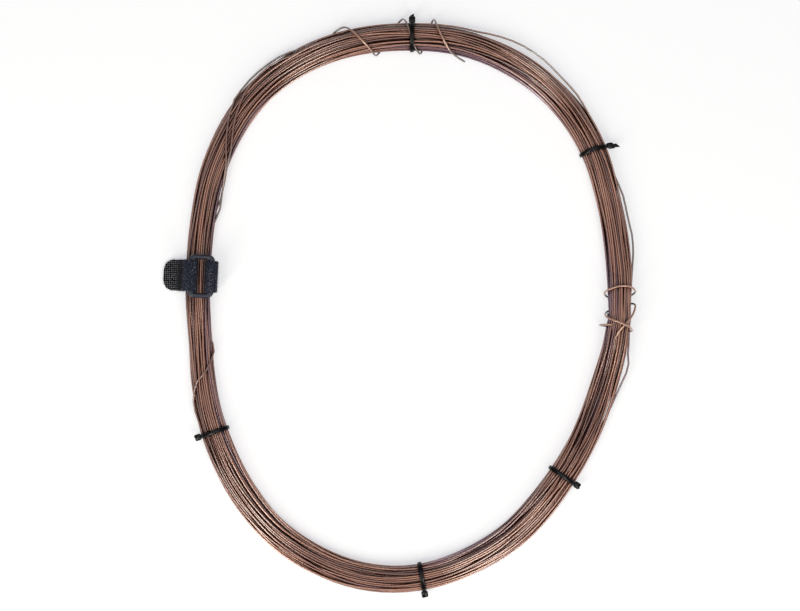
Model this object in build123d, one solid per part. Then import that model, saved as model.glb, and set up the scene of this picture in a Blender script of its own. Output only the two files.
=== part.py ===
from build123d import *
from math import ceil, cos, pi, radians, sin, tan
import os

os.makedirs("parts", exist_ok=True)

# A hank of bare copper wire lying flat: many turns of one length of wire held in an oval loop by
# six cable ties and a hook-and-loop strap with a plastic buckle. Millimetres, +Z up, +Y to the top
# of the loop. The origin is on the floor, under the middle of the whole coil's outline.

wire_diameter = 1.3
wire_sides = 6                # a loose stretch is drawn with flats, to keep it light
bundle_height = 11.0
outer_turns = 20              # the turns that show round the outside of the bundle
turn_gap_depth = 0.45
section_step = 9.0            # degrees between the sections that shape the bundle, at most

tie_width = 2.5
tie_thickness = 1.2
tie_clearance = 0.4
head_width = 3.8              # along the bundle
head_length = 4.8             # along the tie's strap
head_depth = 3.4
head_corner = 0.6
tail_thickness = 1.1
tail_slant = 1.3              # the tail is cut off at a slant
slot_depth = 0.9              # the head's opening, round the tail
slot_play = 0.4

strap_width = 20.0
strap_thickness = 1.8
strap_clearance = 0.2
tab_reach = 14.5              # how far the free end lies out from the bundle's side
tab_end_radius = 6.0
tab_height = 2.6
tab_bend = 6.0                # where the free end turns outward, off the first layer
tab_curl = 0.6
fold_gap = 2.3                # the folded layer's middle, off the first one's
strap_slack = 0.4
under_corner = 2.0            # how far in from its sides the strap lies flat under the bundle
top_corner = 4.0

buckle_length = 27.8          # along the bundle
buckle_width = 16.8
buckle_thickness = 2.6
buckle_bar = 4.0
buckle_cap = 3.0
buckle_corner = 4.0
buckle_shift = 2.7            # the buckle sits towards the inside of the loop
buckle_edge = 0.8
eye_corner = 0.8              # the sewn eye round the inner bar

# How far each tie's cut tail stands out of its head, and where the head sits round the bundle,
# in degrees from the outside of the loop. The one at the right is turned under the bundle
ties = {
    "cable_tie_right": (0.4, -90),
    "cable_tie_upper_right": (3.4, 0),
    "cable_tie_top": (2.0, 0),
    "cable_tie_lower_left": (0.6, 0),
    "cable_tie_bottom": (0.6, 0),
    "cable_tie_lower_right": (0.8, 0),
}
over_tie = tie_thickness + tie_clearance
over_head = head_depth + ties["cable_tie_right"][0] - tie_thickness / 2
over_strap = strap_thickness + strap_clearance - over_tie

# The bundle round the loop, counterclockwise from the right: the angle about the loop's centre,
# the distance to the bundle's middle, its width, how far it is raised and what holds it there
stations = [
    (-2.2, 134.1, 13.4, over_head, "cable_tie_right"),
    (4, 134.9, 16.2, 0.9 * over_head, None),
    (18, 139.1, 16.6, 0.3 * over_head, None),
    (40.7, 155.5, 17.4, 0, "cable_tie_upper_right"),
    (54, 164.9, 18.0, 0, None),
    (66, 171.2, 20.0, 0, None),
    (78, 174.7, 19.2, 0, None),
    (89.8, 174.8, 17.4, 0, "cable_tie_top"),
    (108, 175.1, 18.1, 0, None),
    (126, 169.6, 17.2, 0, None),
    (144, 156.2, 16.5, 0, None),
    (158, 145.1, 15.8, 0, None),
    (171.5, 138.8, 16.4, over_strap, "fastening_strap"),
    (190, 137.8, 15.0, 0, None),
    (212.2, 149.7, 17.6, 0, "cable_tie_lower_left"),
    (228, 160.9, 18.7, 0, None),
    (242, 170.3, 18.1, 0, None),
    (258, 175.6, 17.6, 0, None),
    (272.3, 173.6, 17.4, 0, "cable_tie_bottom"),
    (290, 162.2, 20.6, 0, None),
    (312.1, 145.4, 18.1, 0, "cable_tie_lower_right"),
    (335, 135.4, 20.0, 0.3 * over_head, None),
    (351.6, 134.0, 17.2, 0.9 * over_head, None),
]
angle_of = {station[-1]: station[0] for station in stations if station[-1]}


def between_stations(angle, value):
    """A station value at any angle: a smooth curve through the stations, closed round the loop."""
    count = len(stations)
    while angle < stations[0][0]:
        angle += 360
    while angle >= stations[0][0] + 360:
        angle -= 360
    after = next((i for i, s in enumerate(stations) if s[0] > angle), count)

    def place(i):
        turns, index = divmod(i, count)
        return stations[index][0] + 360 * turns, value(stations[index])

    (t0, v0), (t1, v1), (t2, v2), (t3, v3) = (place(after + k) for k in (-2, -1, 0, 1))
    step = t2 - t1
    s = (angle - t1) / step
    slope1 = (v2 - v0) / (t2 - t0) * step
    slope2 = (v3 - v1) / (t3 - t1) * step
    rise, fall = s * s * (3 - 2 * s), s * (1 - s)
    return v1 + (v2 - v1) * rise + fall * ((1 - s) * slope1 - s * slope2)


def half_width(angle):
    return between_stations(angle, lambda station: station[2] / 2)


def middle(angle):
    """The bundle's middle at an angle about the loop's centre."""
    reach = between_stations(angle, lambda station: station[1])
    height = over_tie + between_stations(angle, lambda station: station[3]) + bundle_height / 2
    return Vector(reach * cos(radians(angle)), reach * sin(radians(angle)), height)


def section_plane(angle):
    """The bundle's cross-section there: local x points out of the loop and local y up."""
    along = middle(angle + 0.5) - middle(angle - 0.5)
    return Plane(middle(angle), x_dir=Vector(along.Y, -along.X, 0), z_dir=Vector(-along.X, -along.Y, 0))


def beside_bundle(angle, phase, gap):
    """A point off the bundle's side: phase 0 is outside the loop, 90 on top, 180 inside it."""
    across = (half_width(angle) + gap) * cos(radians(phase))
    up = (bundle_height / 2 + gap) * sin(radians(phase))
    return section_plane(angle).from_local_coords((across, up, 0))


def around_bundle(angle, gap, count):
    """Points evenly round the bundle's cross-section, a gap off its side, from the outside on."""
    across, up = half_width(angle) + gap, bundle_height / 2 + gap
    return [(across * cos(2 * pi * i / count), up * sin(2 * pi * i / count)) for i in range(count)]


def bundle_section(angle):
    """The outer turns lie side by side round the bundle, with a gap cut between each two."""
    crests = around_bundle(angle, 0, 2 * outer_turns)[::2]
    gaps = around_bundle(angle, -turn_gap_depth, 2 * outer_turns)[1::2]
    outline = [point for pair in zip(crests, gaps) for point in pair]
    return section_plane(angle) * make_face(Polyline(*outline, close=True))


def bundle_body():
    """The packed turns: a span from each binder to the next, drawn in where it is held."""
    held = sorted(angle_of.values())
    body = None
    for start, end in zip(held, held[1:] + [held[0] + 360]):
        steps = ceil((end - start) / section_step)
        angles = [start + (end - start) * i / steps for i in range(steps + 1)]
        span = loft([bundle_section(angle) for angle in angles])
        body = span if body is None else body + span
    return body


def bent(points):
    """Straight runs through points, joined by arcs as large as the runs allow."""
    radii = []
    for before, corner, after in zip(points, points[1:], points[2:]):
        turn = (corner - before).get_angle(after - corner)
        shorter = min((corner - before).length, (after - corner).length)
        radii.append(0.45 * shorter / tan(radians(turn) / 2))
    return FilletPolyline(*points, radius=radii)


def loose_wire(route):
    """A stretch of wire off the bundle, through places given as angle, phase and gap."""
    path = bent([beside_bundle(*place) for place in route])
    return sweep(Plane(path @ 0, z_dir=path % 0) * RegularPolygon(wire_diameter / 2, wire_sides), path)


def cable_tie(name):
    """A nylon tie pulled tight: its strap over the outer turns, the slotted head and the cut tail."""
    angle = angle_of[name]
    tail_length, head_phase = ties[name]
    outside, inside = (
        make_face(Polyline(*around_bundle(angle, gap, outer_turns), close=True))
        for gap in (tie_clearance + tie_thickness, tie_clearance)
    )
    strap = extrude(outside - inside, tie_width / 2, both=True)

    head = Pos(head_depth / 2, 0, 0) * Box(head_depth, head_length, head_width)
    head = chamfer(head.edges().group_by(Axis.X)[-1], head_corner)
    slot_end = head_depth - slot_depth / 2
    head -= Pos(slot_end, 0, 0) * Box(slot_depth, tail_thickness + slot_play, tie_width + slot_play)
    reach, edge = head_depth + tail_length, tie_width / 2
    tail_side = Polyline((0, -edge), (reach, -edge), (max(reach - tail_slant, head_depth / 2), edge), (0, edge), close=True)
    tail = Rot(90, 0, 0) * extrude(make_face(tail_side), tail_thickness / 2, both=True)

    wide = half_width(angle) if head_phase == 0 else bundle_height / 2
    head_start = Pos(wide + tie_clearance + tie_thickness / 2, 0, 0)
    return section_plane(angle) * (strap + Rot(0, 0, head_phase) * head_start * (head + tail))


def fastening_strap():
    """The hook-and-loop strap: sewn round the inner bar, under the bundle, up through the buckle,
    back over the outer bar and out to its free end."""
    angle = angle_of["fastening_strap"]
    half = strap_thickness / 2
    beside = half_width(angle) + strap_clearance + half
    under = -(bundle_height / 2 + strap_clearance + half)
    below_bars = -under
    above_bars = below_bars + 2 * half + 2 * strap_clearance + buckle_thickness
    inner_edge = -buckle_shift - buckle_width / 2
    outer_edge = -buckle_shift + buckle_width / 2
    turn = half + strap_clearance
    inside = inner_edge - turn
    eye_inner = inner_edge + buckle_bar + turn
    window = outer_edge - buckle_bar - turn
    tab_end = half_width(angle) + tab_reach
    tab_rest = under - half + tab_height

    eye_middle = Pos((inside + eye_inner) / 2, (below_bars + above_bars) / 2)
    eye_width, eye_height = eye_inner - inside, above_bars - below_bars
    eye = RectangleRounded(eye_width + 2 * half, eye_height + 2 * half, eye_corner + half)
    eye -= RectangleRounded(eye_width - 2 * half, eye_height - 2 * half, eye_corner)
    route = [
        (inside, (below_bars + above_bars) / 2),
        (inside, below_bars / 2),
        (-beside, -bundle_height / 5),
        (under_corner - beside, under),
        (beside - under_corner, under),
        (beside + strap_slack, -bundle_height / 5),
        (beside, bundle_height / 4),
        (beside - top_corner, below_bars),
        (window, below_bars),
        (window, above_bars),
        (outer_edge + turn, above_bars),
        (beside + fold_gap, bundle_height / 3),
        (beside + fold_gap + strap_slack, -bundle_height / 6),
        (beside + tab_bend, tab_rest + tab_curl),
        (tab_end, tab_rest),
    ]
    band = trace(bent([Vector(*place) for place in route]), strap_thickness)
    strap = extrude(eye_middle * eye + band, strap_width / 2, both=True)
    across_edge = strap_thickness + 0.01
    tab_corners = strap.edges().filter_by(lambda edge: edge.length < across_edge)
    strap = fillet(tab_corners.sort_by(Axis.X)[-2:], tab_end_radius)
    return section_plane(angle) * strap


def strap_buckle():
    """The strap's plastic loop, lying on the bundle with a bar each side of its window."""
    ring = RectangleRounded(buckle_width, buckle_length, buckle_corner)
    window_width, window_length = buckle_width - 2 * buckle_bar, buckle_length - 2 * buckle_cap
    ring -= RectangleRounded(window_width, window_length, buckle_corner / 4)
    loop = extrude(ring, buckle_thickness)
    loop = chamfer(loop.faces().sort_by(Axis.Z)[-1].edges(), buckle_edge)
    loop = chamfer(loop.faces().sort_by(Axis.Z)[0].edges(), buckle_edge)
    section = section_plane(angle_of["fastening_strap"])
    height = bundle_height / 2 + 2 * strap_clearance + strap_thickness
    seat = section.from_local_coords((-buckle_shift, height, 0))
    return Plane(seat, x_dir=section.x_dir, z_dir=(0, 0, 1)) * loop


# The outer end of the wire, wrapped round the bundle at the top of the loop
outer_end = [
    (108.0, -60, -1.6), (105.6, -25, 1.0), (103.4, 8, 1.7), (102.0, 50, 1.2), (100.5, 90, 1.0),
    (99.0, 130, 1.2), (97.9, 172, 2.2), (96.7, 218, 1.2), (95.4, 252, 1.12), (94.2, 288, 1.12),
    (93.0, 322, 1.3), (91.6, 0, 2.9), (90.6, 48, 0.3), (89.9, 98, -0.45), (89.0, 150, 0.0),
    (88.0, 184, 2.0), (87.5, 218, 1.2), (87.0, 252, 1.12), (86.5, 288, 1.12), (86.0, 322, 1.3),
    (85.4, 8, 2.7), (84.5, 56, 1.2), (83.2, 95, 1.0), (81.4, 135, 1.2), (79.6, 160, 1.6),
    (77.4, 168, 3.0),
]
# The inner end, wrapped at the right
inner_end = [
    (351.4, 97, -1.2), (353.8, 84, 0.4), (356.2, 60, 2.1), (358.4, 34, 3.2), (360.8, 2, 3.2),
    (361.3, 322, 0.6), (361.9, 285, -1.2), (362.4, 255, -1.2), (363.0, 215, 0.8), (363.9, 180, 1.9),
    (365.0, 138, 1.2), (366.0, 92, 1.0), (365.8, 48, 1.2), (364.6, 4, 2.4), (363.4, 322, 1.3),
    (361.9, 288, 1.12), (360.3, 252, 1.12), (359.4, 218, 1.9), (358.4, 186, 3.3), (357.2, 148, 3.2),
    (356.2, 98, 3.3), (355.3, 55, 3.5), (354.4, 6, 1.9), (354.1, 322, 1.2), (354.1, 288, 1.12),
    (354.3, 252, 1.12), (354.5, 215, 1.3), (354.5, 188, 3.8), (354.9, 150, 1.4), (355.2, 118, 0.9),
]
# Turns that stray from the bundle between two binders
strays = [
    [(78, 10, -1.2), (72, 6, 1.2), (68, 4, 2.5), (63, 4, 2.3), (58, 6, 1.0), (52, 10, 0.9), (47, 14, -1.2)],
    [(34, 14, -1.2), (29, 8, 1.0), (23, 4, 1.4), (18.5, 4, 2.6), (14, 6, 1.6), (8, 12, -1.2)],
    [(112, 8, -1.2), (118, 6, 1.9), (124, 6, 2.9), (130, 22, 0.9), (137, 88, 0.9), (143, 140, 0.9),
     (149, 172, 2.2), (153.5, 176, 3.0), (159, 172, -1.2)],
    [(349.5, 12, -1.2), (346, 6, 1.2), (342.5, 8, 1.2), (338, 14, -1.2)],
    [(186, 166, -1.2), (191.5, 172, 2.3), (196, 122, 1.0), (200, 50, 0.9), (205, 18, 0.9), (210, 12, -1.2)],
]

body = bundle_body()
for route in [outer_end, inner_end] + strays:
    body += loose_wire(route)

pieces = {"wire_coil": body, "fastening_strap": fastening_strap(), "strap_buckle": strap_buckle()}
for name in ties:
    pieces[name] = cable_tie(name)

outline = Compound(list(pieces.values())).bounding_box()
to_origin = Pos(-outline.center().X, -outline.center().Y, -outline.min.Z)
for name, piece in pieces.items():
    export_step(to_origin * piece, f"parts/{name}.step")
    print(name, piece.volume)
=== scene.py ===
import bpy
import math
import numpy as np
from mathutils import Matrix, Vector


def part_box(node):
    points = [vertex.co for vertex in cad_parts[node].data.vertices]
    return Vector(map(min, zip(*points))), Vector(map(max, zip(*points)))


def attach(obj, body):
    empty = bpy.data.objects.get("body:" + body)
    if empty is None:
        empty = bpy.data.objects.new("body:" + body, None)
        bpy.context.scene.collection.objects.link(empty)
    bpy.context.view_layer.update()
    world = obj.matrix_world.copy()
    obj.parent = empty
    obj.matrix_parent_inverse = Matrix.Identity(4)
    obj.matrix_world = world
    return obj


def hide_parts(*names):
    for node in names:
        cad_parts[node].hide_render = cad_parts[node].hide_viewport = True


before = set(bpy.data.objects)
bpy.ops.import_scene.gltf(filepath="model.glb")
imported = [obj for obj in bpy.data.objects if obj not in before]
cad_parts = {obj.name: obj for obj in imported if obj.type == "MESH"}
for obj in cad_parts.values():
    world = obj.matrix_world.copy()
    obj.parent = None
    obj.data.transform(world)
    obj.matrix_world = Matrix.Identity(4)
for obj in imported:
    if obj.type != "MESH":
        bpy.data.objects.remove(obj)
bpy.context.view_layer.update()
mm = 0.001
tiny = 1e-6               # keeps a range's end in and a division off zero

# Each tie's place round the loop in degrees, and in mm how far its cut tail stands out of its head.
# headPhase turns the head round the bundle, to its underside at the right. There the turns on top
# cover the strap: by cover, and past coverFrom across and up from the strap's middle, while the
# strap is that much aside and narrower. skew (degrees) and bow (mm) lay a tie askew on the bundle.
ties = {
    "cable_tie_right": {"angle": -2.2, "tail": 0.4, "headPhase": -90, "cover": 2.4,
                        "coverFrom": (-5.0, -1.5), "aside": -0.7, "narrow": 0.8},
    "cable_tie_upper_right": {"angle": 40.7, "tail": 3.4, "skew": -5.0, "bow": 0.8},
    "cable_tie_top": {"angle": 89.8, "tail": 2.0},
    "cable_tie_lower_left": {"angle": 212.2, "tail": 0.6},
    "cable_tie_bottom": {"angle": 272.3, "tail": 0.6},
    "cable_tie_lower_right": {"angle": 312.1, "tail": 0.8},
}
for tieSettings in ties.values():
    for option in ("headPhase", "cover", "aside", "narrow", "skew", "bow"):
        tieSettings.setdefault(option, 0)
tieShape = {
    "width": 2.5,
    "thickness": 1.1,
    "round": 0.3,             # radius of the strap's edges
    "play": 0.1,              # between the strap and the turns it holds
    "steps": 96,              # round the bundle
    "headWidth": 4.2,
    "headLength": 4.8,
    "headDepth": 3.7,
    "headFoot": 0.6,          # from the strap's inner side to the head
    "slotDepth": 0.9,
    "slotPlay": (0.3, 0.4),   # round the tail, along its width and its thickness
    "tailStart": 0.8,         # from the strap's inner side, out of sight in the head
    "tailThickness": 1.1,
    "tailSlant": 1.3,
}
strapAngle = 171.5

# How high the bundle's underside lies, in mm: on a tie, on the strap, on the right tie's head, and
# as it comes down from that head
overTie = 1.6
overStrap = 2.0
overHead = 4.8
besideHead = overTie + 2.88
pastHead = overTie + 0.96

# The bundle round the loop, counterclockwise from the right, in mm: angle about the loop's centre,
# distance to the bundle's middle, the bundle's width and how high its underside lies
bundle = {
    "stations": [
        (-2.2, 134.1, 13.4, overHead), (4, 134.6, 16.8, besideHead), (18, 139.1, 16.6, pastHead),
        (30, 146.4, 17.4, overTie), (40.7, 155.5, 17.4, overTie), (54, 165.2, 18.8, overTie),
        (66, 171.2, 20.0, overTie), (78, 174.7, 19.2, overTie), (89.8, 174.8, 17.4, overTie),
        (108, 175.1, 18.1, overTie), (126, 169.6, 17.2, overTie), (144, 156.2, 16.5, overTie),
        (158, 145.1, 15.8, overTie), (strapAngle, 138.8, 16.4, overStrap), (190, 137.8, 15.0, overTie),
        (212.2, 149.7, 17.6, overTie), (228, 161.2, 19.5, overTie), (242, 170.5, 18.8, overTie),
        (258, 176.0, 18.8, overTie), (272.3, 173.6, 17.4, overTie), (290, 163.1, 22.4, overTie),
        (312.1, 145.4, 18.1, overTie), (335, 134.7, 21.4, pastHead), (351.6, 133.4, 18.4, besideHead),
    ],
    "binders": [tie["angle"] for tie in ties.values()] + [strapAngle],
    "height": 11.0,
    "sag": 1.3,               # how far the bundle sinks between two binders
    "sagStart": 12.0,         # mm from a binder
    "sagEnd": 42.0,
}
wire = {
    "diameter": 1.3,
    "sides": 8,
    "turns": 68,
    "sections": 150,          # places round the loop where the turns are packed against each other
    "startAngle": 108.0,
    "endAngle": 351.4,
    "slotPitch": 1.3,         # times the diameter, between the turns' first places in a row
    "rowHeight": 0.866,       # times the pitch, from one row up to the next
    "slotTighten": 0.995,     # times the pitch, until all turns have a place
    "twists": [(24, 3, 40), (16, 5, 200)],    # of the bundle: degrees, waves round the loop, phase
    "driftLength": 5.0,       # sections over which a turn keeps its direction across the bundle
    "drift": (1.5, 1.1),      # mm that a turn wanders, across the bundle and up
    "spread": 0.3,            # mm that the outermost turns may stand out of the bundle's width
    "rounds": 260,
    "push": 0.42,             # share of an overlap that one round of packing takes away
    "stiffness": 0.32,        # share of a bend that one round takes away
    "tieGap": 0.15,           # between the right tie's strap and the turns over it
    "floorGap": 0.05,
    "tailStep": 0.9,          # mm between points along the two ends
    "toneLength": 0.25,       # m of wire over which its colour changes
    # The ends are painted lighter as they rise to the bundle's top: painted light
    "litTopRise": 2.5,        # mm under the bundle's top over which an end grows bright
    "purple": [(-14, 22), (48, 96), (196, 214), (268, 300)],    # degrees round the loop's inner edge
    "purpleFade": 8,          # degrees at both ends of such a stretch
    "purpleDepth": (0.225, 0.475),    # shares of the bundle's width, in from its middle
    "patchFrom": 0.725,       # purple patches anywhere, where a random value is past this one
    "patchSlope": 4,
    "patchMost": 0.6,
    "blend": 7,               # points along the wire over which its colours run together
    "seed": 7,
}
# Stretches off the bundle, as places beside it: angle, phase round the bundle (0 outside the loop,
# 90 on top, 180 inside) and gap in mm between the bundle's side and the wire's middle
outerEnd = [
    (108.0, -60, -1.6), (105.6, -25, 1.0), (103.4, 8, 1.7), (102.0, 50, 1.2), (100.5, 90, 1.0),
    (99.0, 130, 1.2), (97.9, 172, 2.2), (96.7, 218, 1.2), (95.4, 252, 1.12), (94.2, 288, 1.12),
    (93.0, 322, 1.3), (91.6, 0, 2.9), (90.6, 48, 0.3), (89.9, 98, -0.45), (89.0, 150, 0.0),
    (88.0, 184, 2.0), (87.5, 218, 1.2), (87.0, 252, 1.12), (86.5, 288, 1.12), (86.0, 322, 1.3),
    (85.4, 8, 2.7), (84.5, 56, 1.2), (83.2, 95, 1.0), (81.4, 135, 1.2), (79.6, 160, 1.6),
    (77.4, 168, 3.0),
]
innerEnd = [
    (351.4, 97, -1.2), (353.8, 84, 0.4), (356.2, 60, 2.1), (358.4, 34, 3.2), (360.8, 2, 2.7),
    (361.3, 322, 0.6), (361.9, 285, -1.2), (362.4, 255, -1.2), (363.0, 215, 0.8), (363.45, 198, 1.2),
    (363.9, 180, 1.3), (364.45, 162, 1.2), (365.0, 138, 1.2), (366.0, 92, 1.0), (365.8, 48, 1.2),
    (364.6, 4, 1.6), (363.4, 322, 1.3), (361.9, 288, 1.12), (360.3, 252, 1.12), (359.1, 218, 1.6),
    (358.4, 186, 2.2), (357.2, 148, 3.2), (356.2, 98, 3.3), (355.3, 55, 3.5), (354.4, 6, 1.5),
    (354.1, 322, 1.2), (354.1, 288, 1.12), (354.3, 252, 1.12), (354.5, 215, 1.3), (354.5, 188, 3.8),
    (354.9, 150, 1.4), (355.2, 118, 0.9),
]
strays = [
    [(47, 14, -1.2), (52, 10, 0.9), (58, 6, 1.0), (63, 4, 2.3), (68, 4, 2.5), (72, 6, 1.2),
     (78, 10, -1.2)],
    [(8, 12, -1.2), (14, 6, 1.6), (18.5, 4, 2.6), (23, 4, 1.4), (29, 8, 1.0), (34, 14, -1.2)],
    [(112, 8, -1.2), (118, 6, 1.3), (124, 6, 1.7), (130, 22, 0.9), (137, 88, 0.9), (143, 140, 0.9),
     (149, 172, 1.2), (153.5, 176, 2.0), (159, 172, -1.2)],
    [(114, 40, -0.9), (120, 30, 0.9), (126, 40, 0.9), (133, 84, 0.9), (139, 128, 0.9), (146, 165, 1.0),
     (151, 176, 1.4), (156, 165, -1.2)],
    [(338, 14, -1.2), (342.5, 8, 1.2), (346, 6, 1.2), (349.5, 12, -1.2)],
    [(186, 166, -1.2), (191.5, 172, 1.3), (196, 122, 1.0), (200, 50, 0.9), (205, 18, 0.9),
     (210, 12, -1.2)],
]


def betweenStations(angles, column):
    # A smooth curve through the stations' values, closed round the loop
    table = np.array(bundle["stations"])
    turn = np.array([-360.0, 0.0, 360.0])
    known = (table[:, 0] + turn[:, None]).ravel()
    values = np.tile(table[:, column], 3)
    slopes = (np.roll(values, -1) - np.roll(values, 1)) / (np.roll(known, -1) - np.roll(known, 1))
    wrapped = (np.asarray(angles, float) - known[0]) % 360 + known[0] + 360
    after = np.searchsorted(known, wrapped, side="right")
    step = known[after] - known[after - 1]
    s = (wrapped - known[after - 1]) / step
    rise = s * s * (3 - 2 * s)
    ends = values[after - 1] + (values[after] - values[after - 1]) * rise
    return ends + s * (1 - s) * step * ((1 - s) * slopes[after - 1] - s * slopes[after])


def middle(angles):
    angle = np.radians(angles)
    reach = betweenStations(angles, 1)
    height = betweenStations(angles, 3) + bundle["height"] / 2
    return np.stack([reach * np.cos(angle), reach * np.sin(angle), height], -1)


def outward(angles):
    along = middle(np.asarray(angles) + 0.5) - middle(np.asarray(angles) - 0.5)
    out = np.stack([along[..., 1], -along[..., 0], 0 * along[..., 2]], -1)
    return out / np.linalg.norm(out, axis=-1, keepdims=True)


def sagAt(angles):
    # The bundle sinks to the floor between two binders, and not where one holds it up
    places = middle(angles)[..., None, :2]
    held = middle(bundle["binders"])[:, :2]
    away = np.linalg.norm(places - held, axis=-1).min(-1)
    share = np.clip((away - bundle["sagStart"]) / (bundle["sagEnd"] - bundle["sagStart"]), 0, 1)
    return bundle["sag"] * share * share * (3 - 2 * share)


def besideBundle(places):
    # Angle, phase and gap to a place in the cross-section: across the bundle and up
    angle, phase, gap = np.array(places, float).T
    across = (betweenStations(angle, 2) / 2 + gap) * np.cos(np.radians(phase))
    up = (bundle["height"] / 2 + gap) * np.sin(np.radians(phase))
    return angle, np.stack([across, up], -1)


def smoothCurve(points, step):
    # Points about one step apart along a curve through the given ones
    points = np.asarray(points, float)
    padded = np.vstack([2 * points[0] - points[1], points, 2 * points[-1] - points[-2]])
    made = []
    for a, b, c, d in zip(padded, padded[1:], padded[2:], padded[3:]):
        count = max(1, int(np.ceil(np.linalg.norm(c - b) / step)))
        s = (np.arange(count) / count)[:, None]
        made.append(0.5 * (2 * b + (c - a) * s + (2 * a - 5 * b + 4 * c - d) * s ** 2
                           + (3 * b - a - 3 * c + d) * s ** 3))
    return np.vstack(made + [points[-1:]])


# The hook-and-loop strap: sewn round the buckle's inner bar, under the bundle, up through the
# buckle, back over its outer bar and out to the free end
strap = {
    "width": 20.0,
    "thickness": 1.8,
    "clearance": 0.2,
    "edge": 0.55,             # radius of its long edges
    "napDepth": 0.15,         # of the thickness, made by the fibres
    "waviness": 0.05,
    "step": 0.7,
    "slack": 0.4,
    "underCorner": 2.0,
    "topCorner": 4.0,
    "foldGap": 2.3,           # from the layer beside the bundle to the one that comes back
    "tabReach": 14.5,
    "tabHeight": 2.6,
    "tabRadius": 6.5,
    "tabBend": 6.0,
    "tabCurl": 0.6,
    "bendShare": 0.45,        # of the shorter run beside a corner that its bend takes up
    "bendSteps": 13,
    # The black free end runs on over the fold beside the bundle, as painted shade
    "freeEnd": 23.0,          # mm from the tip over which the cloth is black
    "hookEnd": 13.0,          # mm from the tip over which it has hooks
    "endFade": 1.5,
    # The next four shape the painted shadow on the turns under the strap and buckle
    "windowMiddle": -1.9,     # where light gets through the buckle's window to the turns
    "windowLit": 3.0,
    "windowFade": 0.7,
    "shadeReach": 0.4,        # mm past the strap's side that it shades the turns
    "fibreLength": 1.3,
    "fibreShortest": 0.35,    # share of the length
    "fibreRadius": 0.035,
    "fibreFloor": 0.1,        # mm over the floor under which no fibre reaches
    "fibreLean": (0.9, 0.9, 3.14),    # radians at most about its own axes
    "fibresPerArea": 1.3e6,   # in a square metre
    "lengthSeed": 3,
    "seed": 5,
}
buckle = {
    "length": 27.8,
    "width": 16.8,
    "thickness": 2.6,
    "bar": 4.0,
    "cap": 3.0,
    "corner": 4.0,
    "windowCorner": 1.0,
    "edge": 1.0,
    "shift": 2.7,             # from the bundle's middle towards the loop's
    # capShade sets the painted shadow at each end of the buckle's window
    "capShade": 1.2,          # mm at each end of the window that its cap shades
    "sideSteps": 6,           # points along a side
    "sideOver": 2,            # mm that it is longer than
}

# The loop's centre in the row frame, from where the buckle stands
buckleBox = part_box("strap_buckle")
seat = middle(strapAngle) - buckle["shift"] * outward(strapAngle)
loopCentre = np.array([(buckleBox[0].x + buckleBox[1].x) / 2 / mm - seat[0],
                       (buckleBox[0].y + buckleBox[1].y) / 2 / mm - seat[1], 0])


def toRow(angles, across, up, along=0.0):
    # A place in the bundle's cross-section at an angle, in metres in the row frame
    out = outward(angles)
    forward = np.stack([-out[..., 1], out[..., 0], 0 * out[..., 2]], -1)
    place = middle(angles) + out * np.asarray(across)[..., None] + forward * np.asarray(along)[..., None]
    place[..., 2] += up
    return (place + loopCentre) * mm


def turnSlots(count, halfAcross, halfUp):
    # First places for the turns, in rows from the underside up, every second row backwards
    pitch = wire["diameter"] * wire["slotPitch"]
    while True:
        rows, slots = int(halfUp * 2 / (pitch * wire["rowHeight"])) + 1, []
        for row in range(rows):
            up = (row - (rows - 1) / 2) * pitch * wire["rowHeight"]
            reach = halfAcross * math.sqrt(max(0.0, 1 - (up / halfUp) ** 2))
            across = np.arange(-reach + (row % 2) * pitch / 2, reach + tiny, pitch)
            across = across - across.mean() if len(across) else across
            slots += [(x, up) for x in (across[::-1] if row % 2 == 0 else across)]
        if len(slots) >= count:
            return np.array(slots[:count])
        pitch *= wire["slotTighten"]


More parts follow.
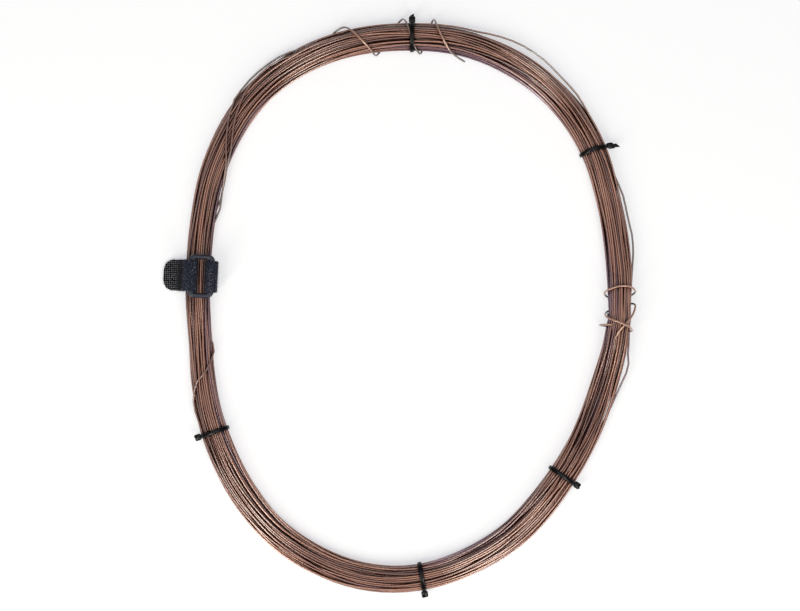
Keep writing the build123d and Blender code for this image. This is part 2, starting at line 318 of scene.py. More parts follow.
def packTurns():
    # Pushes the turns apart in every section, keeps each smooth along its length and all in the bundle
    rng = np.random.default_rng(wire["seed"])
    turns, sections, radius = wire["turns"] + 1, wire["sections"], wire["diameter"] / 2
    angles = wire["startAngle"] + 360 * np.arange(sections) / sections
    halfAcross = betweenStations(angles, 2) / 2 - radius + wire["spread"]
    halfUp = np.full(sections, bundle["height"] / 2 - radius)
    slots = turnSlots(turns + 1, halfAcross.mean(), halfUp.mean())
    slots = slots / (halfAcross.mean(), halfUp.mean())
    share = (np.arange(sections) / sections)[None, :, None]
    places = slots[:-1, None] * (1 - share) + slots[1:, None] * share

    # The bundle twists to and fro, and every turn wanders in it
    twist = np.radians(sum(size * np.sin(np.radians(angles * waves + phase))
                           for size, waves, phase in wire["twists"]))
    x, y = places[..., 0], places[..., 1]
    places = np.stack([x * np.cos(twist) - y * np.sin(twist), x * np.sin(twist) + y * np.cos(twist)], -1)
    places *= np.stack([halfAcross, halfUp], -1)
    reach = int(4 * wire["driftLength"])
    kernel = np.exp(-0.5 * (np.arange(-reach, reach + 1) / wire["driftLength"]) ** 2)
    kernel /= np.sqrt((kernel ** 2).sum())
    noise = rng.normal(size=(turns * sections + 2 * reach, 2))
    drift = np.stack([np.convolve(noise[:, i], kernel, "valid") for i in (0, 1)], -1)
    places += drift.reshape(turns, sections, 2) * wire["drift"]

    # All turns are one line, which stops part of the way round: the rest of it is put far off
    used = int(round(sections * (wire["endAngle"] - wire["startAngle"]) / 360))
    length = (turns - 1) * sections + used + 1
    farOff = 1000
    fixed = np.zeros((turns, sections), bool)
    unused = np.arange(turns * sections).reshape(turns, sections) >= length
    line = places.reshape(-1, 2)
    line[0] = besideBundle(outerEnd[:1])[1][0]
    line[length - 1] = besideBundle(innerEnd[:1])[1][0]
    fixed.reshape(-1)[[0, length - 1]] = True
    line[length:] = (farOff, 0) * np.arange(1, len(line) - length + 1)[:, None]

    # The turns outside the middle of the right tie's strap go over it, the others through it
    buried = ties["cable_tie_right"]
    band = tieShape["thickness"]
    at = int(round((buried["angle"] - wire["startAngle"]) % 360 / 360 * sections)) % sections
    centre = np.array([buried["aside"], -buried["cover"] / 2])
    inner = np.array([halfAcross[at] + radius - buried["narrow"],
                      bundle["height"] / 2 - buried["cover"] / 2])
    over = None

    def passTie():
        off = places[:, at] - centre
        reach = np.linalg.norm(off / (inner + band / 2), axis=-1)
        chosen = (reach > 1) & (off > buried["coverFrom"]).all(-1) if over is None else over
        outside = np.linalg.norm(off / (inner + band + radius + wire["tieGap"]), axis=-1)
        inside = np.linalg.norm(off / (inner - radius), axis=-1)
        scale = np.where(chosen, 1 / np.minimum(outside, 1), 1 / np.maximum(inside, 1))
        scale = np.where(fixed[:, at] | (np.abs(places[:, at, 0]) > farOff / 2), 1, scale)
        places[:, at] = centre + off * scale[:, None]
        return chosen

    def settle(rounds):
        for i in range(rounds):
            gap = places[:, None] - places[None]
            away = np.sqrt((gap ** 2).sum(-1)) + tiny
            push = np.clip(2 * radius - away, 0, None) / away
            push[np.arange(turns), np.arange(turns)] = 0
            moved = (gap * push[..., None]).sum(1) * wire["push"]
            moved[fixed] = 0
            places[:] += moved
            bend = 0.5 * (line[:length - 2] + line[2:length]) - line[1:length - 1]
            bend[fixed.reshape(-1)[1:length - 1]] = 0
            line[1:length - 1] += wire["stiffness"] * bend
            beyond = np.sqrt((places[..., 0] / halfAcross) ** 2 + (places[..., 1] / halfUp) ** 2)
            beyond = np.where(fixed | unused, 1, beyond)
            if over is not None:
                beyond[over, at] = 1
                passTie()
            places[:] /= np.maximum(beyond, 1)[..., None]

    settle(wire["rounds"])
    over = passTie()
    print("turns over the buried tie", int(over.sum()))

    # Each stray is taken from the turn that passes nearest to both of its ends
    taken = set()
    for route in strays:
        routeAngles, spots = besideBundle(route)
        steps = (routeAngles - wire["startAngle"]) / 360 * sections
        span = np.arange(int(np.ceil(steps[0])), int(steps[-1]) + 1)
        wanted = np.stack([np.interp(span, steps, spots[:, i]) for i in (0, 1)], -1)
        stretches = {k: k * sections + span for k in range(1, turns - 1) if k not in taken}
        misfit = {k: np.linalg.norm(line[stretch[[0, -1]]] - wanted[[0, -1]], axis=-1).sum()
                  for k, stretch in stretches.items() if stretch[0] > 0 and stretch[-1] < length - 1}
        best = min(misfit, key=misfit.get)
        taken.add(best)
        line[stretches[best]] = wanted
        fixed.reshape(-1)[stretches[best][1:-1]] = True
    settle(wire["rounds"] // 3)
    return angles, places, length


def purpleAt(angles):
    # Where the turns along the inside of the loop have a purple cast
    share = np.zeros(len(angles))
    fade = wire["purpleFade"]
    for start, end in wire["purple"]:
        at = (angles - start) % 360
        share += np.clip(at / fade, 0, 1) * np.clip((end - start - at) / fade, 0, 1) * (at < end - start)
    return share


def windowShade(angles, across):
    # Painted shadow on the turns under the buckle and the strap, except in the window's middle
    away = np.abs((angles - strapAngle + 180) % 360 - 180) * np.radians(betweenStations(angles, 1))
    aside = np.abs(across - strap["windowMiddle"]) - strap["windowLit"] / 2
    end = np.clip(buckle["capShade"] - np.abs(away - buckle["length"] / 2 + buckle["cap"]), 0, 1)
    beside = np.clip(strap["width"] / 2 + strap["shadeReach"] - away, 0, 1)
    return np.maximum(beside * np.clip(aside / strap["windowFade"], 0, 1), end)


def wireLine():
    # The whole wire from its outer tip to its inner one, in metres, and what colours each point, painted
    # shade, light and glare among them
    angles, places, length = packTurns()
    turns = places.shape[0]
    everyAngle = np.tile(angles, turns)[:length]
    across, up = places.reshape(-1, 2)[:length].T
    coil = toRow(everyAngle, across, up)
    tails = []
    for route in (outerEnd, innerEnd):
        routeAngles, spots = besideBundle(route)
        tails.append(smoothCurve(toRow(routeAngles, spots[:, 0], spots[:, 1]), wire["tailStep"] * mm))
    tails[0] = tails[0][::-1]
    coil[:, 2] -= sagAt(everyAngle) * mm
    line = np.vstack([tails[0], coil[1:-1], tails[1]])
    line[:, 2] = np.maximum(line[:, 2], (wire["diameter"] / 2 + wire["floorGap"]) * mm)

    # Painted light where an end lies on top of the bundle, painted grey glare where it stands off the
    # bundle
    top = (bundle["height"] + overTie) * mm
    rise = wire["litTopRise"] * mm
    onTop = [np.clip((tail[:, 2] - top + rise) / rise, 0, 1) for tail in tails]
    width = betweenStations(everyAngle, 2)
    # Painted grey glare where a turn stands out of the bundle's width
    beyond = np.clip(np.abs(across) - width / 2, 0, 1)
    nearest, deepest = wire["purpleDepth"]
    inner = np.clip((-across / width - nearest) / (deepest - nearest), 0, 1)

    def alongWire(onCoil, onTails):
        return np.concatenate([onTails[0], onCoil[1:-1], onTails[1]])

    none = [np.zeros(len(tail)) for tail in tails]
    shares = {
        "buckleShadow": alongWire(windowShade(everyAngle, across), none),
        "litTop": alongWire(np.zeros(len(coil)), onTop),
        "glareGrey": alongWire(beyond, [1 - share for share in onTop]),
        "mauve": alongWire(inner * purpleAt(everyAngle), none),
    }
    return line, shares


class Signal:
    # One output of a node, with sums and products written as plain maths
    def __init__(self, graph, socket):
        self.graph = graph
        self.socket = socket

    def __add__(self, other):
        return self.graph.maths("ADD", self, other)

    def __radd__(self, other):
        return self.graph.maths("ADD", other, self)

    def __sub__(self, other):
        return self.graph.maths("SUBTRACT", self, other)

    def __rsub__(self, other):
        return self.graph.maths("SUBTRACT", other, self)

    def __mul__(self, other):
        return self.graph.maths("MULTIPLY", self, other)

    def __rmul__(self, other):
        return self.graph.maths("MULTIPLY", other, self)


class Graph:
    def __init__(self, tree):
        self.tree = tree
        tree.nodes.clear()

    def node(self, kind, inputs=None, **settings):
        made = self.tree.nodes.new(kind)
        for name, value in settings.items():
            setattr(made, name, value)
        for name, value in (inputs or {}).items():
            if isinstance(value, Signal):
                self.tree.links.new(value.socket, made.inputs[name])
            else:
                made.inputs[name].default_value = value
        return made

    def out(self, kind, output=0, inputs=None, **settings):
        return Signal(self, self.node(kind, inputs, **settings).outputs[output])

    def maths(self, operation, a, b):
        return self.out("ShaderNodeMath", inputs={0: a, 1: b}, operation=operation)

    def steps(self, value, low, high, to=(0.0, 1.0)):
        return self.out("ShaderNodeMapRange", inputs={"Value": value, "From Min": low, "From Max": high,
                                                      "To Min": to[0], "To Max": to[1]},
                        interpolation_type="SMOOTHSTEP")

    def colour(self, factor, a, b):
        return self.out("ShaderNodeMix", 2, {0: factor, 6: a, 7: b}, data_type="RGBA")

    def attribute(self, name):
        return self.out("ShaderNodeAttribute", "Fac", attribute_name=name)

    def noise(self, scale, detail=2.0, roughness=0.5):
        place = self.out("ShaderNodeTexCoord", "Object")
        return self.out("ShaderNodeTexNoise", 0, {"Vector": place, "Scale": scale, "Detail": detail,
                                                  "Roughness": roughness})

    def bump(self, height, strength, distance):
        return self.out("ShaderNodeBump", 0, {"Height": height, "Strength": strength,
                                              "Distance": distance})


def material(name, paint):
    made = bpy.data.materials.new(name)
    made.use_nodes = True
    graph = Graph(made.node_tree)
    shader = graph.node("ShaderNodeBsdfPrincipled")
    output = graph.node("ShaderNodeOutputMaterial")
    made.node_tree.links.new(shader.outputs[0], output.inputs[0])
    for socket, value in paint(graph).items():
        if isinstance(value, Signal):
            made.node_tree.links.new(value.socket, shader.inputs[socket])
        else:
            shader.inputs[socket].default_value = value
    return made


noiseRange = (0.3, 0.7)   # where most of a noise's values lie
copperLook = {
    "dark": (0.15, 0.032, 0.017, 1),
    "light": (0.70, 0.30, 0.19, 1),
    "mauve": (0.20, 0.085, 0.19, 1),
    # The next two are painted light on the ends on top of the bundle and painted grey glare where the wire
    # stands off it
    "litTop": (0.74, 0.38, 0.24, 1),
    "glareGrey": (0.34, 0.32, 0.30, 1),
    # The next two are painted shade between the turns and painted shadow under the buckle and strap
    "gap": (0.018, 0.004, 0.003, 1),
    "buckleShadow": (0.006, 0.004, 0.004, 1),
    "patchSize": 60.0,        # as a noise's scale: waves in a metre
    "toneShare": 0.8,         # how much a turn's own tone and the patches lighten the brown
    "patchShare": 0.45,
    "darker": 0.12,
    "endShare": 0.9,
    "buckleShadowShare": 0.95,
    "gapShadeReach": 0.003,        # m within which another turn makes a gap dark
    "gapShadeRange": (0.32, 0.92),
    "patchRange": (0.25, 0.8),
    "roughness": (0.22, 0.34),
    "metal": 0.3,
    "shine": 0.25,
    "coatIndex": 2.5,
    "coatRoughness": 0.2,
}


def copper(graph):
    # Bare copper gone brown and glossy, each turn a little different, with painted shade between the turns
    # and painted shadow under the buckle, painted light on the ends on top of the bundle and painted grey
    # glare where a turn stands off it
    look = copperLook
    patches = graph.noise(look["patchSize"], 3.0)
    tone = graph.attribute("tone") * look["toneShare"] + patches * look["patchShare"] - look["darker"]
    brown = graph.colour(graph.steps(tone, 0.0, 1.0), look["dark"], look["light"])
    mauve = graph.colour(graph.attribute("mauve"), brown, look["mauve"])
    litTop = graph.colour(graph.attribute("litTop") * look["endShare"], mauve, look["litTop"])
    glareGrey = graph.colour(graph.attribute("glareGrey") * look["endShare"], litTop, look["glareGrey"])
    # Painted shade: where ambient occlusion finds other turns near, the colour goes to the gap colour
    gapShadeAO = graph.out("ShaderNodeAmbientOcclusion", "AO", {"Distance": look["gapShadeReach"]}, samples=8)
    clear = graph.steps(gapShadeAO, *look["gapShadeRange"])
    deep = graph.colour(clear, look["gap"], glareGrey)
    buckleShadow = graph.colour(graph.attribute("buckleShadow") * look["buckleShadowShare"], deep, look["buckleShadow"])
    return {"Base Color": buckleShadow, "Metallic": look["metal"], "Specular IOR Level": look["shine"],
            "Roughness": graph.steps(patches, *look["patchRange"], look["roughness"]),
            # The coat is taken away in the painted shade between the turns and under the buckle
            "Coat Weight": clear * clear * (1 - graph.attribute("buckleShadow")),
            "Coat IOR": look["coatIndex"], "Coat Roughness": look["coatRoughness"]}


nylonLook = {
    "black": (0.003, 0.003, 0.004, 1),
    "wearSize": 400.0,
    "wearBump": (0.15, 0.0002),    # strength and depth in m
    "roughness": (0.16, 0.3),
    "shine": 0.32,
}


def nylon(graph):
    look = nylonLook
    wear = graph.noise(look["wearSize"], 3.0)
    return {"Base Color": look["black"], "Specular IOR Level": look["shine"],
            "Roughness": graph.steps(wear, *noiseRange, look["roughness"]),
            "Normal": graph.bump(wear, *look["wearBump"])}


clothLook = {
    "navy": (0.034, 0.042, 0.085, 1),
    "black": (0.003, 0.003, 0.005, 1),
    "weaveShade": (0.003, 0.003, 0.006, 1),
    "pale": (0.4, 0.41, 0.46, 1),
    "weaveSize": 1500.0,
    "weaveBump": (0.7, 0.0006),
    "speckSize": 1300.0,
    "speckRange": (0.6, 0.72),
    "speckShare": 0.6,
    "hookSize": 780.0,
    "hookDisorder": 0.35,
    "hookRange": (0.3, 0.16),
    "hookShare": 0.9,
    "fibreDark": (0.012, 0.015, 0.035, 1),
    "fibrePale": (0.3, 0.31, 0.38, 1),
    "fibreSize": 2500.0,
    "fibreRange": (0.4, 0.65),
    "fibreRoughness": 0.55,
    "fibreShine": 0.4,
    "tabDarker": 0.85,
    "roughness": 0.8,
    "shine": 0.25,
}


def strapCloth(graph):
    # Navy loop cloth with light specks; the free end's hooks are pale dots on black, painted glints
    look, blackEndAndShade = clothLook, graph.attribute("blackEndAndShade")
    weave = graph.noise(look["weaveSize"], 4.0, 0.7)
    # Black on the free end, and over the fold beside it as painted shade
    plain = graph.colour(blackEndAndShade, look["navy"], look["black"])
    # Painted shade: the cloth is darker in the weave's hollows
    shade = graph.colour(graph.steps(weave, *noiseRange), look["weaveShade"], plain)
    specks = graph.steps(graph.noise(look["speckSize"], 1.0), *look["speckRange"]) * (1 - blackEndAndShade)
    # Painted glints: pale dots on the hooks
    cells = graph.out("ShaderNodeTexVoronoi", 0, {
        "Vector": graph.out("ShaderNodeTexCoord", "Object"), "Scale": look["hookSize"],
        "Randomness": look["hookDisorder"]}, voronoi_dimensions="2D")
    hooks = graph.steps(cells, *look["hookRange"]) * graph.attribute("hooks") * look["hookShare"]
    return {"Base Color": graph.colour(hooks + specks * look["speckShare"], shade, look["pale"]),
            "Roughness": look["roughness"], "Specular IOR Level": look["shine"],
            "Normal": graph.bump(weave, *look["weaveBump"])}


def strapFibre(graph):
    look = clothLook
    pale = graph.steps(graph.noise(look["fibreSize"]), *look["fibreRange"])
    # The fibres are darker over the black end and its painted shade
    pale = pale * (1 - graph.attribute("blackEndAndShade") * look["tabDarker"])
    return {"Base Color": graph.colour(pale, look["fibreDark"], look["fibrePale"]),
            "Roughness": look["fibreRoughness"], "Specular IOR Level": look["fibreShine"]}


plasticLook = {
    "navy": (0.017, 0.023, 0.048, 1),
    "hazeSize": 120.0,
    "roughness": (0.24, 0.36),
    "grainSize": 700.0,
    "grainBump": (0.06, 0.0003),
    "shine": 0.5,
    "coat": 0.3,
}


def glossyPlastic(graph):
    look = plasticLook
    haze = graph.noise(look["hazeSize"], 3.0)
    return {"Base Color": look["navy"], "Specular IOR Level": look["shine"], "Coat Weight": look["coat"],
            "Roughness": graph.steps(haze, *noiseRange, look["roughness"]),
            "Normal": graph.bump(graph.noise(look["grainSize"]), *look["grainBump"])}


materials = {
    "copper": material("wire_copper", copper),
    "nylon": material("tie_nylon", nylon),
    "cloth": material("strap_cloth", strapCloth),
    "fibre": material("strap_fibre", strapFibre),
    "plastic": material("buckle_plastic", glossyPlastic),
}


def meshObject(name, vertices, edges=(), faces=()):
    mesh = bpy.data.meshes.new(name)
    mesh.from_pydata([tuple(v) for v in vertices], [tuple(e) for e in edges], [tuple(f) for f in faces])
    for face in mesh.polygons:
        face.use_smooth = True
    made = bpy.data.objects.new(name, mesh)
    bpy.context.scene.collection.objects.link(made)
    return made


def pointValues(target, name, values):
    layer = target.data.attributes.new(name, "FLOAT", "POINT")
    layer.data.foreach_set("value", np.asarray(values, np.float32))


def nodesModifier(target, name, build, inputs):
    # A Geometry Nodes tree with named inputs, set by their identifiers
    tree = bpy.data.node_groups.new(name, "GeometryNodeTree")
    tree.is_modifier = True
    graph = Graph(tree)
    tree.interface.new_socket("Geometry", in_out="INPUT", socket_type="NodeSocketGeometry")
    tree.interface.new_socket("Geometry", in_out="OUTPUT", socket_type="NodeSocketGeometry")
    kinds = {float: "NodeSocketFloat", int: "NodeSocketInt"}
    for label, value in inputs.items():
        tree.interface.new_socket(label, in_out="INPUT", socket_type=kinds[type(value)])
    entry = graph.node("NodeGroupInput")
    result = build(graph, {s.name: Signal(graph, s) for s in entry.outputs if s.name})
    tree.links.new(result.socket, graph.node("NodeGroupOutput").inputs[0])
    modifier = target.modifiers.new(name, "NODES")
    modifier.node_group = tree
    for item in tree.interface.items_tree:
        if item.in_out == "INPUT" and item.name in inputs:
            modifier[item.identifier] = inputs[item.name]


def applyModifiers(target):
    view = bpy.context.evaluated_depsgraph_get()
    plain = bpy.data.meshes.new_from_object(target.evaluated_get(view), depsgraph=view)
    target.modifiers.clear()
    target.data = plain


def triangleCount(made):
    return sum(len(face.vertices) - 2 for face in made.data.polygons)


def buildWire():
    line, shares = wireLine()
    count = len(line)
    made = meshObject("copper_wire", line, edges=[(i, i + 1) for i in range(count - 1)])
    rng = np.random.default_rng(wire["seed"] + 1)
    steps = np.linalg.norm(np.diff(line, axis=0), axis=1)
    run = np.concatenate([[0], np.cumsum(steps)])
    knots = np.arange(0, run[-1] + 2 * wire["toneLength"], wire["toneLength"])
    pointValues(made, "tone", np.interp(run, knots, rng.random(len(knots))))
    patch = np.interp(run, knots, rng.random(len(knots))) - wire["patchFrom"]
    patch = np.clip(patch * wire["patchSlope"], 0, wire["patchMost"])
    shares["mauve"] = np.maximum(shares["mauve"], patch)
    for name, share in shares.items():
        pointValues(made, name, np.convolve(share, np.ones(wire["blend"]) / wire["blend"], "same"))
    print("wire", round(run[-1], 2), "m")

    def tube(graph, given):
        curve = graph.out("GeometryNodeMeshToCurve", inputs={0: given["Geometry"]})
        ring = graph.out("GeometryNodeCurvePrimitiveCircle",
                         inputs={"Resolution": given["Sides"], "Radius": given["Wire radius"]})
        solid = graph.out("GeometryNodeCurveToMesh",
                          inputs={"Curve": curve, "Profile Curve": ring, "Fill Caps": True})
        smooth = graph.out("GeometryNodeSetShadeSmooth", inputs={0: solid})
        real = graph.out("GeometryNodeRealizeInstances", inputs={0: smooth})
        return graph.out("GeometryNodeSetMaterial", inputs={0: real, "Material": materials["copper"]})

    nodesModifier(made, "wire_tube", tube, {
        "Wire radius": wire["diameter"] / 2 * mm, "Sides": wire["sides"]})
    applyModifiers(made)
    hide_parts("wire_coil")
    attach(made, "root")
    print("wire triangles", triangleCount(made))


def ringMesh(name, rings, closed):
    # A skin over equal rings of points, the last joined to the first or both ends filled, with its
    # faces turned outwards
    rings = np.asarray(rings)
    count, size = rings.shape[:2]
    index = np.arange(count * size).reshape(count, size)
    pairs = [(i, (i + 1) % count) for i in range(count if closed else count - 1)]
    faces = [(index[a, j], index[a, (j + 1) % size], index[b, (j + 1) % size], index[b, j])
             for a, b in pairs for j in range(size)]
    if not closed:
        faces += [tuple(index[0, ::-1]), tuple(index[-1])]
    points = rings.reshape(-1, 3)
    volume = sum(points[face[0]] @ np.cross(points[b], points[c]) for face in faces
                 for b, c in zip(face[1:], face[2:]))
    if volume < 0:
        faces = [face[::-1] for face in faces]
    return meshObject(name, points, faces=faces)


def roundedRectangle(width, height, radius, corner):
    # Points counterclockwise round a rectangle, so many of them round each corner
    turns = np.linspace(0, np.pi / 2, corner)
    spots = []
    for quarter, (sx, sy) in enumerate([(1, 1), (-1, 1), (-1, -1), (1, -1)]):
        angle = turns + quarter * np.pi / 2
        spots.append(np.stack([sx * (width / 2 - radius) + radius * np.cos(angle),
                               sy * (height / 2 - radius) + radius * np.sin(angle)], -1))
    return np.vstack(spots)


def joined(parts, name):
    with bpy.context.temp_override(active_object=parts[0], selected_editable_objects=parts):
        bpy.ops.object.join()
    parts[0].name = name
    parts[0].data.name = name
    return parts[0]


def finishPiece(made, node, paint):
    made.data.materials.append(materials[paint])
    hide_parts(node)
    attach(made, "root")


def tieSection(name, phases, gap):
    # Places round a tie's strap, a gap off the turns that it holds: across the bundle and up
    tie = ties[name]
    halfAcross = betweenStations(tie["angle"], 2) / 2 - tie["narrow"] + gap
    halfUp = (bundle["height"] - tie["cover"]) / 2 + gap
    phases = np.radians(phases)
    return np.stack([tie["aside"] + halfAcross * np.cos(phases),
                     -tie["cover"] / 2 + halfUp * np.sin(phases)], -1)


def onTie(name, across, up, along):
    # Places on a tie, moved along the bundle as far as it is skewed and bowed, in the row frame
    tie = ties[name]
    share = across / betweenStations(tie["angle"], 2) * 2
    along = along + math.tan(math.radians(tie["skew"])) * across + tie["bow"] * (1 - share ** 2)
    return toRow(np.full(np.shape(across), tie["angle"]), across, up, along)


def buildTie(name):
    # The strap, the head with its slot and the cut tail, as one moulded piece
    shape, tie = tieShape, ties[name]
    profile = roundedRectangle(shape["width"], shape["thickness"], shape["round"], 4)
    band = shape["play"] + shape["thickness"] / 2
    rings = []
    for phase in np.linspace(0, 360, shape["steps"], endpoint=False) + tie["headPhase"]:
        spots = np.array([tieSection(name, phase, band + y) for y in profile[:, 1]])
        rings.append(onTie(name, spots[:, 0], spots[:, 1], profile[:, 0]))
    parts = [ringMesh(name + "_strap", rings, True)]

    start = tieSection(name, tie["headPhase"], shape["play"])
    phase = math.radians(tie["headPhase"])
    out = np.array([math.cos(phase), math.sin(phase)])
    side = np.array([-out[1], out[0]])

    def block(sections, slant=0.0):
        # Rings round sections given by depth off the bundle, width, height and corner radius; a
        # slant tilts the last two
        made = []
        lastTwo = (sections[-2][0], sections[-1][0])
        for depth, wide, tall, corner in sections:
            edge = roundedRectangle(wide, tall, corner, 3)
            far = depth - slant * (edge[:, 0] / wide + 0.5) * (depth in lastTwo)
            spots = start + far[:, None] * out + edge[:, 1:] * side
            made.append(onTie(name, spots[:, 0], spots[:, 1], edge[:, 0]))
        return made

    wide, tall, foot = shape["headWidth"], shape["headLength"], shape["headFoot"]
    top = shape["headDepth"] + foot
    slot = (shape["width"] + shape["slotPlay"][0], shape["tailThickness"] + shape["slotPlay"][1], 0.15)
    parts.append(ringMesh(name + "_head", block([
        (foot - 0.25, wide - 0.9, tall - 0.3, 0.4), (foot, wide - 0.5, tall, 0.5),
        (foot + 0.7, wide, tall, 0.6), (top - 0.7, wide, tall, 0.6),
        (top - 0.25, wide - 0.35, tall - 0.4, 0.5), (top, wide - 0.8, tall - 0.9, 0.4),
        (top, *slot), (top - shape["slotDepth"], *slot)]), False))
    wide, tall, tip = shape["width"], shape["tailThickness"], top + tie["tail"]
    parts.append(ringMesh(name + "_tail", block([
        (shape["tailStart"], wide, tall, 0.25), (tip - 0.12, wide, tall, 0.25),
        (tip, wide - 0.2, tall - 0.2, 0.2)], shape["tailSlant"]), False))
    finishPiece(joined(parts, name + "_nylon"), name, "nylon")


def strapRoute():
    # The strap's middle line in the cross-section, from its sewn end to its free one, with heights
    # beside the bundle as shares of the bundle's own
    half, clear = strap["thickness"] / 2, strap["clearance"]
    high = bundle["height"]
    beside = betweenStations(strapAngle, 2) / 2 + clear + half
    under = -(high / 2 + clear + half)
    aboveBars = -under + 2 * half + 2 * clear + buckle["thickness"]
    innerEdge, outerEdge = -buckle["shift"] - buckle["width"] / 2, -buckle["shift"] + buckle["width"] / 2
    turn = half + clear
    inside, eyeInner = innerEdge - turn, innerEdge + buckle["bar"] + turn
    window = outerEdge - buckle["bar"] - turn
    tabRest = under - half + strap["tabHeight"]
    return [
        (inside + 2 * half, -under), (eyeInner, -under), (eyeInner, aboveBars), (inside, aboveBars),
        (inside, -under / 2), (-beside, -high / 5), (strap["underCorner"] - beside, under),
        (beside - strap["underCorner"], under), (beside + strap["slack"], -high / 5), (beside, high / 4),
        (beside - strap["topCorner"], -under), (window, -under), (window, aboveBars),
        (outerEdge + turn, aboveBars), (beside + strap["foldGap"], high / 3),
        (beside + strap["foldGap"] + strap["slack"], -high / 6),
        (beside + strap["tabBend"], tabRest + strap["tabCurl"]),
        (betweenStations(strapAngle, 2) / 2 + strap["tabReach"], tabRest),
    ]


def roundedLine(points, step):
    # Straight runs joined by bends as wide as the runs allow, as points a step apart
    points = np.array(points, float)
    line = [points[:1]]
    for before, corner, after in zip(points, points[1:], points[2:]):
        back, ahead = before - corner, after - corner
        reach = strap["bendShare"] * min(np.linalg.norm(back), np.linalg.norm(ahead))
        first = corner + back / np.linalg.norm(back) * reach
        last = corner + ahead / np.linalg.norm(ahead) * reach
        s = np.linspace(0, 1, strap["bendSteps"])[:, None]
        line.append((1 - s) ** 2 * first + 2 * s * (1 - s) * corner + s ** 2 * last)
    line = np.vstack(line + [points[-1:]])
    run = np.concatenate([[0], np.cumsum(np.linalg.norm(np.diff(line, axis=0), axis=1))])
    even = np.linspace(0, run[-1], int(run[-1] / step) + 1)
    return np.stack([np.interp(even, run, line[:, i]) for i in (0, 1)], -1), even


def buildStrap():
    line, run = roundedLine(strapRoute(), strap["step"])
    ahead = np.gradient(line, axis=0)
    ahead /= np.linalg.norm(ahead, axis=1, keepdims=True)
    side = np.stack([-ahead[:, 1], ahead[:, 0]], -1)
    left = run[-1] - run
    radius = strap["tabRadius"]
    short = np.clip(radius - left, 0, radius)
    width = strap["width"] - 2 * (radius - np.sqrt(np.maximum(radius ** 2 - short ** 2, 0)))
    rng = np.random.default_rng(strap["seed"])
    rings = []
    for place, out, wide in zip(line, side, width):
        edge = roundedRectangle(wide, strap["thickness"] - strap["napDepth"], strap["edge"], 3)
        edge = edge + rng.normal(0, strap["waviness"], edge.shape)
        spots = place + edge[:, 1:] * out
        rings.append(toRow(np.full(len(edge), strapAngle), spots[:, 0], spots[:, 1], edge[:, 0]))
    made = ringMesh("fastening_strap_cloth", rings, False)
    for name, reach in (("blackEndAndShade", strap["freeEnd"]), ("hooks", strap["hookEnd"])):
        share = np.clip((reach - left) / strap["endFade"], 0, 1)
        pointValues(made, name, np.repeat(share, len(made.data.vertices) // len(share)))
    finishPiece(made, "fastening_strap", "cloth")
    return made


def buildFibres(cloth):
    # Loose loops and hooks that stand off the strap's cloth, the same short bent fibre many times
    made = bpy.data.objects.new("strap_fibres", cloth.data.copy())
    bpy.context.scene.collection.objects.link(made)
    made.data.materials.clear()
    lean = strap["fibreLean"]

    def fuzz(graph, given):
        spread = graph.node("GeometryNodeDistributePointsOnFaces", {
            "Mesh": given["Geometry"], "Density": given["Density"], "Seed": given["Seed"]})
        points, normal = Signal(graph, spread.outputs["Points"]), Signal(graph, spread.outputs["Rotation"])
        curve = graph.out("GeometryNodeCurveQuadraticBezier", inputs={
            "Resolution": 4, "Start": (0, 0, 0), "Middle": (0, 0, 1), "End": (0.8, 0.2, 0.7)})
        ring = graph.out("GeometryNodeCurvePrimitiveCircle", inputs={
            "Resolution": 3, "Radius": given["Thinness"]})
        hair = graph.out("GeometryNodeCurveToMesh", inputs={
            "Curve": curve, "Profile Curve": ring, "Fill Caps": True})
        leaning = graph.out("FunctionNodeRandomValue", 0, {
            0: tuple(-most for most in lean), 1: lean, "Seed": given["Seed"]}, data_type="FLOAT_VECTOR")
        turned = graph.out("FunctionNodeRotateRotation", inputs={
            "Rotation": normal, "Rotate By": leaning}, rotation_space="LOCAL")
        long = graph.out("FunctionNodeRandomValue", 1, {
            2: given["Shortest"], 3: given["Longest"], "Seed": strap["lengthSeed"]}, data_type="FLOAT")
        spots = graph.out("GeometryNodeInstanceOnPoints", inputs={
            "Points": points, "Instance": hair, "Rotation": turned, "Scale": long})
        real = graph.out("GeometryNodeRealizeInstances", inputs={0: spots})
        return graph.out("GeometryNodeSetMaterial", inputs={0: real, "Material": materials["fibre"]})

    length = strap["fibreLength"] * mm
    nodesModifier(made, "strap_fuzz", fuzz, {
        "Density": strap["fibresPerArea"], "Seed": strap["seed"],
        "Shortest": strap["fibreShortest"] * length, "Longest": length,
        "Thinness": strap["fibreRadius"] / strap["fibreLength"]})
    applyModifiers(made)
    for vertex in made.data.vertices:
        vertex.co.z = max(vertex.co.z, strap["fibreFloor"] * mm)
    print("fibre triangles", triangleCount(made))
    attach(made, "root")


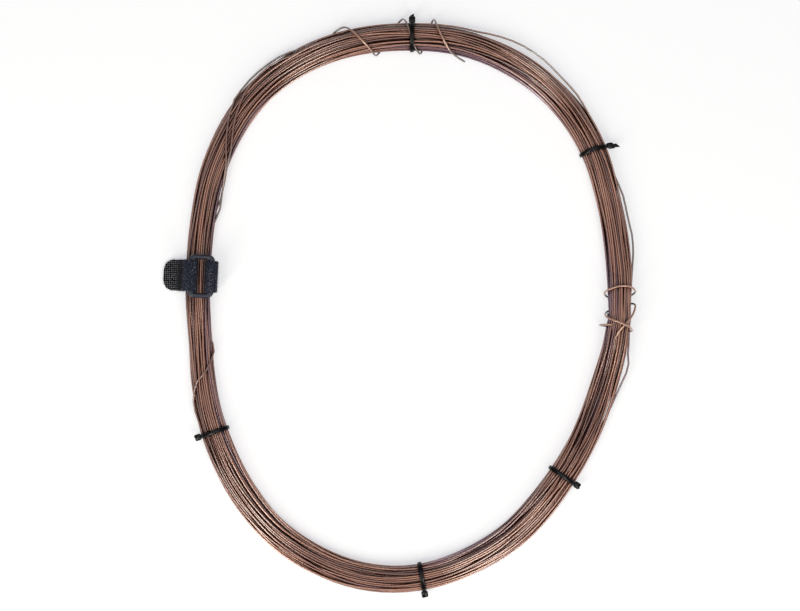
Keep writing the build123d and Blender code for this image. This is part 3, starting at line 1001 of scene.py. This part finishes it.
def buildBuckle():
    # A moulded ring with a bar each side of its window, all its edges round
    outer = roundedRectangle(buckle["width"], buckle["length"], buckle["corner"], 8)
    inner = roundedRectangle(buckle["width"] - 2 * buckle["bar"], buckle["length"] - 2 * buckle["cap"],
                             buckle["windowCorner"], 8)

    def filled(points):
        # More points along the straight sides
        loop = np.vstack([points, points[:1]])
        share = np.linspace(0, 1, buckle["sideSteps"] + 1)[:-1, None]
        return np.vstack([a + (b - a) * share if np.linalg.norm(b - a) > buckle["sideOver"] else a[None]
                          for a, b in zip(loop, loop[1:])])

    base = bundle["height"] / 2 + 2 * strap["clearance"] + strap["thickness"] + buckle["thickness"] / 2
    rings = []
    for a, b in zip(filled(outer), filled(inner)):
        width = np.linalg.norm(b - a)
        profile = roundedRectangle(width, buckle["thickness"], buckle["edge"], 5)
        flat = (a + b) / 2 + profile[:, :1] * (a - b) / width
        rings.append(toRow(np.full(len(profile), strapAngle), flat[:, 0] - buckle["shift"],
                           base + profile[:, 1], flat[:, 1]))
    made = ringMesh("strap_buckle_moulding", rings, True)
    finishPiece(made, "strap_buckle", "plastic")


buildWire()
print("wire done")
for tieName in ties:
    buildTie(tieName)
print("ties done")
buildFibres(buildStrap())
print("strap done")
buildBuckle()
print("buckle done")

# The studio: a white floor that keeps a faint shadow, dim light all round, two tall warm softboxes
# at the lower left and right of the photo's view and a wide white one overhead
studio = {
    "floorSize": 6.0,
    "floorGrey": 0.8,
    "floorGlow": 0.546,
    "glowTint": (0.942, 0.956, 1.0, 1),    # against the softboxes' warm light
    "worldStrength": 0.16,
    # azimuth, elevation, distance, width, height, watts and colour
    "softboxes": [
        (227, 45, 1.5, 0.22, 1.5, 7.4, (1, 0.96, 0.85)),
        (301, 45, 1.5, 0.2, 1.5, 5.9, (1, 0.96, 0.85)),
        (0, 90, 2.4, 2.0, 2.0, 9.0, (1, 1, 1)),
    ],
    "cameraHeight": 1.55,
    "viewWidth": 0.516,       # m across the picture at the height in focus
    "aim": (-7.1, 1.61),      # mm from the loop's centre
    "focusHeight": 0.007,
}


def floorMaterial():
    # A grey floor that glows only where it is seen, so that its light doesn't fill the gaps
    made = bpy.data.materials.new("floor_white")
    made.use_nodes = True
    graph = Graph(made.node_tree)
    grey = (studio["floorGrey"],) * 3 + (1,)
    paint = graph.out("ShaderNodeBsdfDiffuse", inputs={"Color": grey})
    path = graph.node("ShaderNodeLightPath")
    rays = ("Is Camera Ray", "Is Glossy Ray", "Is Transmission Ray")
    seen = sum(Signal(graph, path.outputs[ray]) for ray in rays)
    glow = graph.out("ShaderNodeEmission", inputs={
        "Color": studio["glowTint"], "Strength": seen * studio["floorGlow"]})
    both = graph.out("ShaderNodeAddShader", inputs={0: paint, 1: glow})
    made.node_tree.links.new(both.socket, graph.node("ShaderNodeOutputMaterial").inputs[0])
    return made


half = studio["floorSize"] / 2
floor = meshObject("floor", [(-half, -half, 0), (half, -half, 0), (half, half, 0), (-half, half, 0)],
                   faces=[(0, 1, 2, 3)])
floor.data.materials.append(floorMaterial())

world = bpy.data.worlds.new("studio")
bpy.context.scene.world = world
world.use_nodes = True
sky = Graph(world.node_tree)
background = sky.out("ShaderNodeBackground", inputs={
    "Color": (1, 1, 1, 1), "Strength": studio["worldStrength"]})
world.node_tree.links.new(background.socket, sky.node("ShaderNodeOutputWorld").inputs[0])

for azimuth, elevation, distance, wide, tall, watts, tint in studio["softboxes"]:
    light = bpy.data.lights.new("softbox", "AREA")
    light.shape = "RECTANGLE"
    light.size = wide
    light.size_y = tall
    light.energy = watts
    light.color = tint
    lamp = bpy.data.objects.new("softbox", light)
    around, upward = math.radians(azimuth), math.radians(elevation)
    toward = Vector((math.cos(around) * math.cos(upward), math.sin(around) * math.cos(upward),
                     math.sin(upward)))
    lamp.location = toward * distance
    lamp.rotation_euler = toward.to_track_quat("Z", "Y").to_euler()
    bpy.context.scene.collection.objects.link(lamp)
print("studio done")

lens = bpy.data.cameras.new("camera")
camera = bpy.data.objects.new("camera", lens)
bpy.context.scene.collection.objects.link(camera)
camera.location = (*((loopCentre[:2] + studio["aim"]) * mm), studio["cameraHeight"])
lens.lens = lens.sensor_width * (studio["cameraHeight"] - studio["focusHeight"]) / studio["viewWidth"]
bpy.context.scene.camera = camera
bpy.context.scene.view_settings.view_transform = "Standard"
